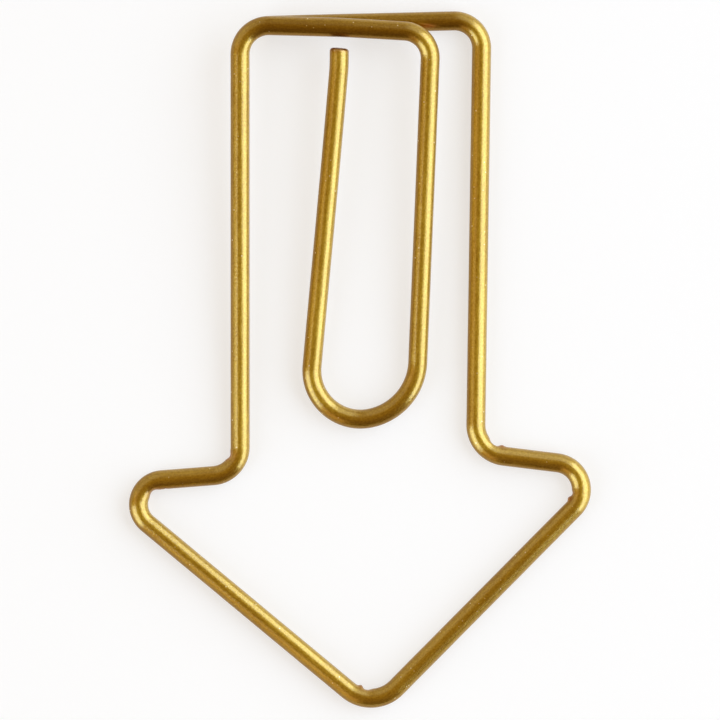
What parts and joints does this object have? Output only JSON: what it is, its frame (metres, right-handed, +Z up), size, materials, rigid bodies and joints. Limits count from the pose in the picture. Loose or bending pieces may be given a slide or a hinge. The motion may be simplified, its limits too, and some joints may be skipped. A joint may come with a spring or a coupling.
{
  "type": "paper clip",
  "caption": "Arrow-shaped paper clip bent from round brass wire, with an inner tongue that springs up to grip sheets of paper",
  "frame": {"origin": "under the middle of the clip's box, on the desk that it lies on", "axes": "+Z up from the desk, +Y from the arrow's tip towards the bars at the top of its shaft, +X to the right as seen from above"},
  "size_m": [0.0398, 0.0598, 0.0034],
  "materials": {
    "brass_wire": "satin"
  },
  "bodies": {
    "frame": {"front_bar": "brass_wire", "top_left_corner": "brass_wire", "left_leg": "brass_wire", "left_shoulder_bend": "brass_wire", "left_shoulder": "brass_wire", "left_barb": "brass_wire", "left_head_edge": "brass_wire", "arrow_tip": "brass_wire", "right_head_edge": "brass_wire", "right_barb": "brass_wire", "right_shoulder": "brass_wire", "right_shoulder_bend": "brass_wire", "right_leg": "brass_wire", "top_right_corner": "brass_wire", "back_bar": "brass_wire"},
    "tongue": {"tongue_root": "brass_wire", "tongue_corner": "brass_wire", "tongue_long_arm": "brass_wire", "tongue_bow": "brass_wire", "tongue_free_arm": "brass_wire", "tongue_end": "brass_wire"}
  },
  "joints": [
    {"name": "tongue_lift", "type": "hinge", "parent": "frame", "child": "tongue", "pos_m": [0.00063, 0.02841, 0.00258], "axis": [-0.9984, 0.0571, 0], "range_deg": [0, 10], "stiffness_Nm_per_rad": 0.75}
  ]
}
